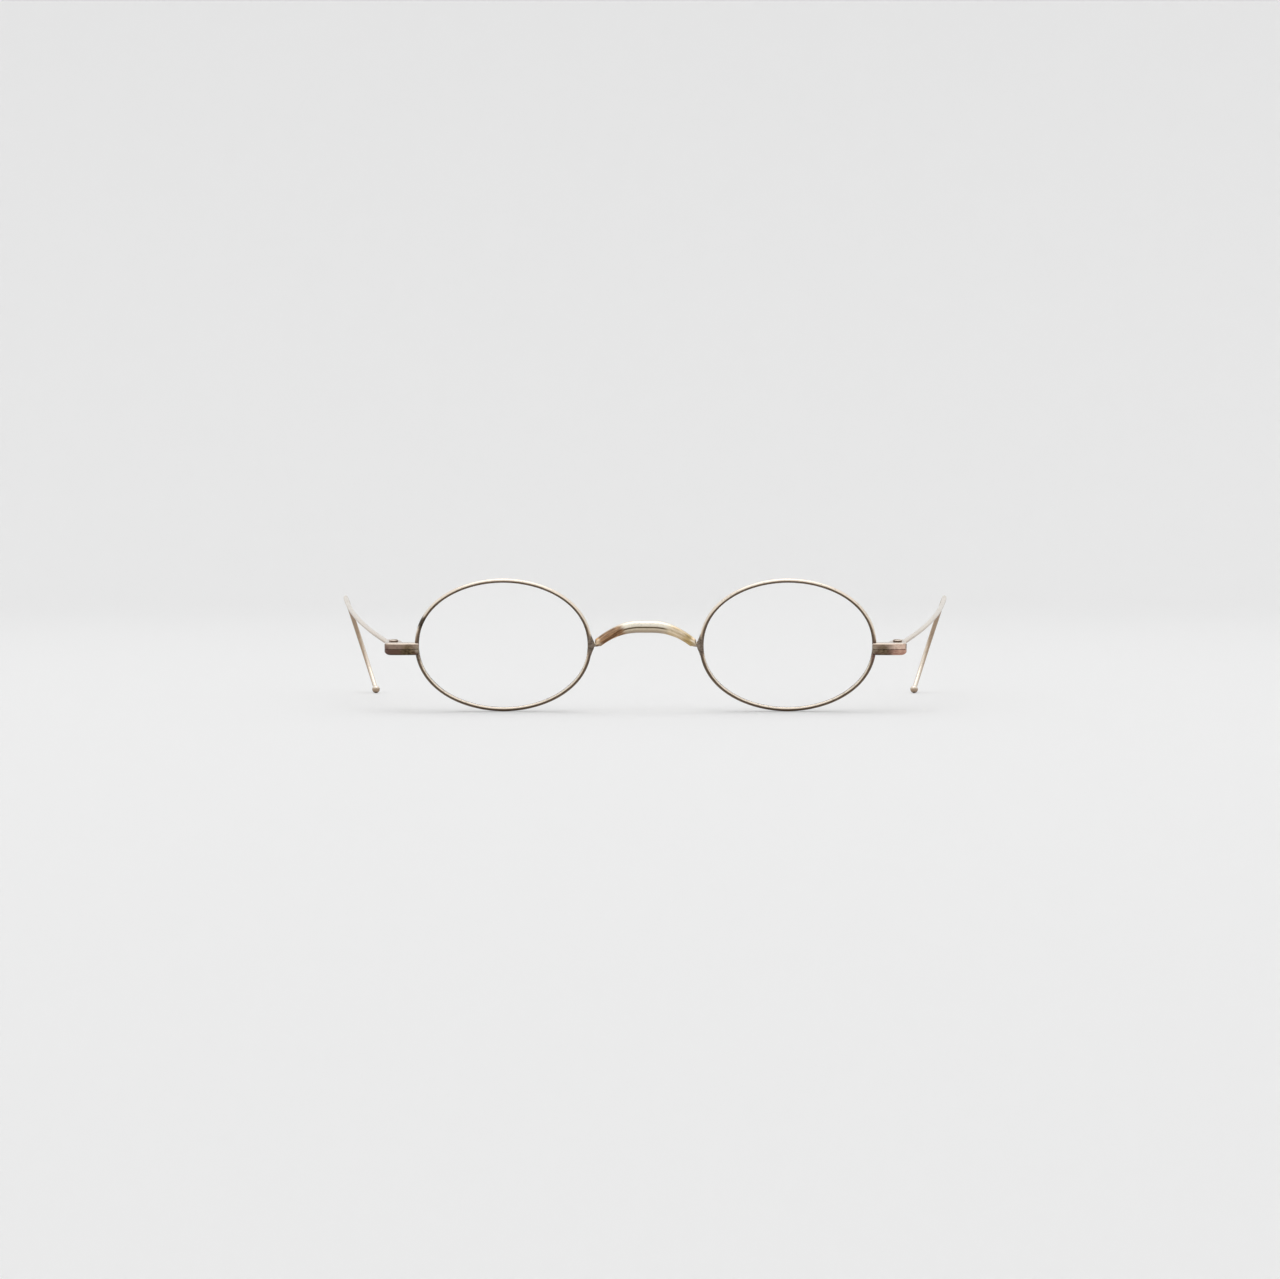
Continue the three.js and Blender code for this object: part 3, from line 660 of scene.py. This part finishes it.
# Split end pieces, which hold the temples' hinges
hingeSizes = dict(screw=0.6, hole=0.68, tongueWall=0.87, tongue=0.95, tongueGap=0.08, stopGap=0.12)
endSizes = dict(
    length=7.5, front=-1.2, back=1.0, belly=0.3, frontPoints=14, corner=1.3, round=0.45, fillet=0.3,
    earLap=0.3, earThickness=0.75, slotLap=0.05, edge=0.4, splitEdge=0.07, cutEdge=0.05,
    sharp=math.radians(50), weld=0.03, upSweep=1.3, upSweepRise=0.4, upSweepCuts=6,
)
splitHalf = eyewireSizes["split"] / 2
tongueRadius = hingeSizes["hole"] + hingeSizes["tongueWall"]
slotHalf = hingeSizes["tongue"] / 2 + hingeSizes["tongueGap"]
earRadius = tongueRadius + endSizes["earLap"]
earInner = hingePoint.x - earRadius
earBack = hingePoint.y + earRadius
endHalfHeight = slotHalf + endSizes["earThickness"]
endOuter = hingePoint.x + earRadius
endInner = endOuter - endSizes["length"]


def frontAt(x):  # the front swells towards its middle
    share = (x - endInner) / endSizes["length"]
    return endSizes["front"] - endSizes["belly"] * 4 * share * (1 - share)


def arc(x, y, radius, start, end, steps):
    angles = [math.radians(start + (end - start) * i / steps) for i in range(steps + 1)]
    return [Vector((x + radius * math.cos(a), y + radius * math.sin(a), splitHalf)) for a in angles]


def endOutline():  # seen from above, from the rim along the front and round the hinge
    s = endSizes
    radius, corner, fillet = s["round"], s["corner"], s["fillet"]
    first, last = endInner + radius, endOuter - corner
    outline = [Vector((endInner, s["back"], splitHalf))]
    outline += arc(first, frontAt(first) + radius, radius, 180, 270, steps=5)
    for i in range(1, s["frontPoints"]):
        x = first + (last - first) * i / s["frontPoints"]
        outline.append(Vector((x, frontAt(x), splitHalf)))
    outline += arc(last, frontAt(last) + corner, corner, -90, 0, steps=9)
    outline += arc(endOuter - radius, earBack - radius, radius, 0, 90, steps=5)
    outline += arc(hingePoint.x, hingePoint.y, earRadius, 90, 180, steps=14)
    outline += arc(earInner - fillet, s["back"] + fillet, fillet, 0, -90, steps=4)
    return outline


def sweepUp(half):  # the lower half's underside rises towards its outer end
    s = endSizes
    start = endOuter - s["upSweep"]
    edit(half)
    for i in range(s["upSweepCuts"]):
        bpy.ops.mesh.select_all(action="SELECT")
        bpy.ops.mesh.bisect(plane_co=(start + s["upSweep"] * i / s["upSweepCuts"], 0, 0), plane_no=(1, 0, 0))
    places = {round(v.co.x, 3) for v in bmesh.from_edit_mesh(half.data).verts if v.co.x > start}
    for x in sorted(places):
        pick(half, "verts", lambda v: round(v.co.x, 3) == x)
        share = (x - start) / s["upSweep"]
        squeeze = 1 - s["upSweepRise"] * share ** 2 / (endHalfHeight - splitHalf)
        bpy.ops.transform.resize(value=(1, 1, squeeze), center_override=(0, 0, splitHalf))


def cutHinge(half):  # the slot for the temple's tongue and the hole for the screw
    slotStart = hingePoint.y - tongueRadius - hingeSizes["stopGap"]
    slotLow = (earInner - endSizes["slotLap"], slotStart, -slotHalf)
    slotHigh = (endOuter + beyond, earBack + beyond, slotHalf)
    cutOrJoin(half, addBlock(slotLow, slotHigh), "DIFFERENCE")
    hole = addPin(hingeSizes["hole"], 2 * (endHalfHeight + beyond))
    hole.location = (hingePoint.x, hingePoint.y, 0)
    cutOrJoin(half, bakePlace(hole), "DIFFERENCE")


def makeEndHalf(side):  # side is 1 for the upper half and -1 for the lower one
    s = endSizes
    outline = endOutline()
    half = closeUp(drawLine([*outline, outline[0]]))
    edit(half)
    bpy.ops.mesh.select_all(action="SELECT")
    bpy.ops.mesh.edge_face_add()
    extrude((0, 0, endHalfHeight - splitHalf))
    closeUp(half)
    edit(half, "EDGE")
    pick(half, "faces", lambda f: f.normal.z > 0.5)
    bpy.ops.mesh.region_to_loop()
    bpy.ops.mesh.bevel(offset=s["edge"], segments=5, affect="EDGES")
    pick(half, "edges", lambda e: all(v.co.z < splitHalf + hair for v in e.verts))
    bpy.ops.mesh.bevel(offset=s["splitEdge"], segments=2, affect="EDGES")
    if side < 0:
        sweepUp(half)
    closeUp(half, gap=s["weld"])  # tiny edges would hold the last bevel back
    cutHinge(half)
    bevelSharp(half, s)
    half.location.z = hingePoint.z
    half.scale.z = side
    bakePlace(half)
    return closeUp(half, gap=1e-4)


for level, side, gold in (("upper", 1, endGold), ("lower", -1, endLowerGold)):
    name, node = "EndPiece" + level.title(), "endpiece_" + level
    placePair(makeEndHalf(side), name, node, gold, flats=True)
print("end pieces made")

# Hinge screws
screwSizes = dict(
    headLip=0.4, headHeight=0.36, edge=0.1, seatGap=0.02,
    dome=[(1, 0.16), (0.9, 0.06), (0.6, 0.015), (0, 0)],  # share of the head's radius, mm below its top
    slotWidth=0.3, slotDepth=0.18, slotTurn=math.radians(35),
)


def makeScrew():
    s = screwSizes
    shank, edge = hingeSizes["screw"], s["edge"]
    seat = endHalfHeight + s["seatGap"]
    top = seat + s["headHeight"]
    head = shank + s["headLip"]
    screw = turnProfile([
        (0, -endHalfHeight), (shank - edge, -endHalfHeight), (shank, -endHalfHeight + edge), (shank, seat),
        (head - edge / 2, seat), (head, seat + edge / 2),
        *[(head * share, top - drop) for share, drop in s["dome"]],
    ])
    slotHalfWidth = s["slotWidth"] / 2
    slotLow = (-head - beyond, -slotHalfWidth, top - s["slotDepth"])
    slotHigh = (head + beyond, slotHalfWidth, top + beyond)
    cutOrJoin(screw, addBlock(slotLow, slotHigh), "DIFFERENCE")
    screw.rotation_euler.z = s["slotTurn"]
    screw.location = hingePoint
    return bakePlace(screw)


placePair(makeScrew(), "HingeScrew", "hinge_screw", screwGold, flats=True)
print("screws made")

# Temples
templeSizes = dict(
    radius=0.53, length=86.5, flare=math.radians(15.5), bendFlare=math.radians(5.5),
    shoulderLength=1.6, shoulderHeight=2.3, shoulderInside=0.7, shoulderEdge=0.25,
    neckInset=0.06, neckStop=0.2,  # the neck ends inside the shoulder
    ferruleWall=0.4, ferruleLength=3.4, socket=2.0, cutEdge=0.06, sharp=math.radians(55),
    ferruleShape=[(1, 0.55), (0.93, 0.6), (0.93, 0.66), (0.98, 0.7), (0.9, 0.93), (0.78, 1)],  # with a collar
    hookRadius=10.5, hookTurn=math.radians(100), tailRadius=16, tailTurn=math.radians(50),
    hookLean=math.radians(17.5), shankSteps=48, hookSteps=40, tailSteps=24, rounding=10,
    beadWall=0.4, beadSocket=0.7, beadSteps=16, beadFrom=math.radians(-48),
    beadLip=0.06, beadMouth=0.1, lipDepth=0.95, mouthDepth=0.8,  # depths are shares of the bead's radius
)
shoulderStart = earRadius + hingeSizes["stopGap"]
shoulderEnd = shoulderStart + templeSizes["shoulderLength"]
shaftX = (earRadius - templeSizes["shoulderInside"]) / 2
shaftStart = hingePoint + Vector((shaftX, shoulderEnd, 0))
shaftWay = Vector((math.sin(templeSizes["flare"]), math.cos(templeSizes["flare"]), 0))


def makeFerrule():
    s = templeSizes
    outer, length, root = s["radius"] + s["ferruleWall"], s["ferruleLength"], -s["shoulderLength"] / 2
    profile = [(0, root), (outer, root)]
    profile += [(outer * wide, length * far) for wide, far in s["ferruleShape"]]
    ferrule = turnProfile([*profile, (0, length)])
    ferrule.rotation_euler = (-math.pi / 2, 0, -s["flare"])
    ferrule.location = (shaftX, shoulderEnd, 0)
    return bakePlace(ferrule)


def makeTempleJoint():
    s = templeSizes
    thick = hingeSizes["tongue"] / 2
    tall = s["shoulderHeight"] / 2
    joint = addPin(tongueRadius, 2 * thick, steps=64)
    neckHalf = s["shoulderInside"] - s["neckInset"]
    neck = addBlock((-neckHalf, 0, -thick), (neckHalf, shoulderEnd - s["neckStop"], thick))
    cutOrJoin(joint, neck, "UNION")
    shoulder = addBlock((-s["shoulderInside"], shoulderStart, -tall), (earRadius, shoulderEnd, tall))
    applyModifier(shoulder, "BEVEL", width=s["shoulderEdge"], segments=4)
    cutOrJoin(joint, shoulder, "UNION")
    cutOrJoin(joint, makeFerrule(), "UNION")
    cutOrJoin(joint, addPin(hingeSizes["hole"], 2 * (thick + beyond)), "DIFFERENCE")
    bevelSharp(joint, s)
    joint.location = hingePoint
    return bakePlace(joint)


def templeLine():  # the wire's middle, its end and the way it points there
    s = templeSizes
    start = shaftStart + shaftWay * (s["ferruleLength"] - s["socket"])
    line = drawLine([start])
    edit(line)
    bpy.ops.mesh.select_all(action="SELECT")
    shankTurn = s["flare"] - s["bendFlare"]  # the shank bows inwards a little
    bow = s["length"] / shankTurn
    middle = start + bow * Vector((-math.cos(s["flare"]), math.sin(s["flare"]), 0))
    bpy.ops.mesh.spin(steps=s["shankSteps"], angle=shankTurn, center=middle, axis=(0, 0, -1))
    bend = middle + bow * Vector((math.cos(s["bendFlare"]), -math.sin(s["bendFlare"]), 0))
    along = Vector((math.sin(s["bendFlare"]), math.cos(s["bendFlare"]), 0))
    inward = Vector((-math.cos(s["bendFlare"]), math.sin(s["bendFlare"]), 0))
    down = inward * math.sin(s["hookLean"]) + Vector((0, 0, -math.cos(s["hookLean"])))
    axis = down.cross(along)
    hookMiddle = bend + down * s["hookRadius"]
    bpy.ops.mesh.spin(steps=s["hookSteps"], angle=s["hookTurn"], center=hookMiddle, axis=axis)
    outward = along * math.sin(s["hookTurn"]) - down * math.cos(s["hookTurn"])
    hookEnd = hookMiddle + outward * s["hookRadius"]
    tailMiddle = hookEnd - outward * s["tailRadius"]
    bpy.ops.mesh.spin(steps=s["tailSteps"], angle=s["tailTurn"], center=tailMiddle, axis=axis)
    turn = s["hookTurn"] + s["tailTurn"]
    end = tailMiddle + (along * math.sin(turn) - down * math.cos(turn)) * s["tailRadius"]
    endWay = along * math.cos(turn) + down * math.sin(turn)
    return only(line), end, endWay


def makeTempleWire(line):
    wire = toCurve(line)
    wire.data.bevel_depth = templeSizes["radius"]
    wire.data.bevel_resolution = templeSizes["rounding"]
    wire.data.use_fill_caps = True
    return toMesh(wire)


def makeTempleTip(end, endWay):  # a bead
    s = templeSizes
    radius = s["radius"] + s["beadWall"]
    lip, mouth = s["radius"] + s["beadLip"], s["radius"] + s["beadMouth"]
    lipAt, mouthAt = -radius * s["lipDepth"], -radius * s["mouthDepth"]
    profile = [(0, lipAt), (lip, lipAt), (mouth, mouthAt)]
    for i in range(s["beadSteps"] + 1):
        angle = s["beadFrom"] + (math.pi / 2 - s["beadFrom"]) * i / s["beadSteps"]
        profile.append((radius * math.cos(angle), radius * math.sin(angle)))
    tip = turnProfile(profile)
    tip.matrix_world = (
        Matrix.Translation(end + endWay * (radius - s["beadSocket"]))
        @ endWay.to_track_quat("Z", "Y").to_matrix().to_4x4()
    )
    return bakePlace(tip)


leftJoint = makeTempleJoint()
placePair(leftJoint, "TempleJoint", "temple_joint", templeGold, temple=True, flats=True)
wireLine, wireEnd, wireWay = templeLine()
placePair(makeTempleWire(wireLine), "TempleWire", "temple_wire", templeGold, temple=True)
placePair(makeTempleTip(wireEnd, wireWay), "TempleTip", "temple_tip", templeGold, temple=True)
print("temples made")

# Studio, in metres: a round paper sweep, open at the top, under one wide soft light.
# The paper is uncoated, so it is pale and even, with hardly any shine.
studio = dict(
    floor=1.0, cove=0.5, wall=0.6, coveSteps=16, turnSteps=96,
    paper="#ededed", paperRoughness=0.9, paperShine=0.1,
    lampHeight=1.8, lampSize=1.9, lampPower=5.5, sky=0.94,
)


def makeSweep():
    s = studio
    profile = [Vector((0, 0, 0)), Vector((s["floor"], 0, 0))]
    for i in range(1, s["coveSteps"] + 1):
        angle = i / s["coveSteps"] * math.pi / 2
        out, rise = s["cove"] * math.sin(angle), s["cove"] * (1 - math.cos(angle))
        profile.append(Vector((s["floor"] + out, 0, rise)))
    profile.append(Vector((s["floor"] + s["cove"], 0, s["cove"] + s["wall"])))
    sweep = drawLine(profile)
    edit(sweep)
    bpy.ops.mesh.select_all(action="SELECT")
    bpy.ops.mesh.spin(steps=s["turnSteps"], angle=2 * math.pi, center=(0, 0, 0), axis=(0, 0, 1))
    closeUp(sweep, gap=1e-5)
    sweep.name = "paperSweep"
    paper, tree, shader = newMaterial("matte paper")
    shader.inputs["Base Color"].default_value = linear(s["paper"])
    shader.inputs["Roughness"].default_value = s["paperRoughness"]
    shader.inputs["Specular IOR Level"].default_value = s["paperShine"]
    sweep.data.materials.append(paper)
    bpy.ops.object.shade_smooth()


def makeLight():
    s = studio
    bpy.ops.object.light_add(type="AREA", location=(0, 0, s["lampHeight"]))
    lamp = bpy.context.active_object
    lamp.data.shape = "DISK"
    lamp.data.size = s["lampSize"]
    lamp.data.energy = s["lampPower"]
    world = bpy.data.worlds.new("studio")
    bpy.context.scene.world = world
    world.use_nodes = True
    world.node_tree.nodes["Background"].inputs["Color"].default_value = (s["sky"],) * 3 + (1,)


makeSweep()
makeLight()

# Camera, at the photograph's angle and distance
cameraSizes = dict(
    distance=900, nearest=10, focalPixels=4158, frame=(1280, 1279), scale=4.62,  # scale is in pixels per mm
    frontPixel=(645.6, 644.9), downward=math.radians(7.4), sensor=36.0,
)


def makeCamera():
    s = cameraSizes
    angle = s["downward"] - lean
    ahead = Vector((0, math.cos(angle), -math.sin(angle)))
    upward = Vector((0, math.sin(angle), math.cos(angle)))
    right = (s["frontPixel"][0] - s["frame"][0] / 2) / s["scale"]
    below = (s["frontPixel"][1] - s["frame"][1] / 2) / s["scale"]
    aim = inFrame(0, 0, 0) + (Vector((-right, 0, 0)) + upward * below) * mm
    bpy.ops.object.camera_add(location=aim - ahead * s["distance"] * mm)
    camera = bpy.context.active_object
    camera.rotation_euler = ahead.to_track_quat("-Z", "Y").to_euler()
    camera.data.sensor_width = s["sensor"]
    camera.data.lens = s["focalPixels"] / s["frame"][0] * s["sensor"]
    camera.data.clip_start = s["nearest"] * mm
    bpy.context.scene.camera = camera


makeCamera()
bpy.context.scene.view_settings.view_transform = "Standard"
print("studio and camera made")
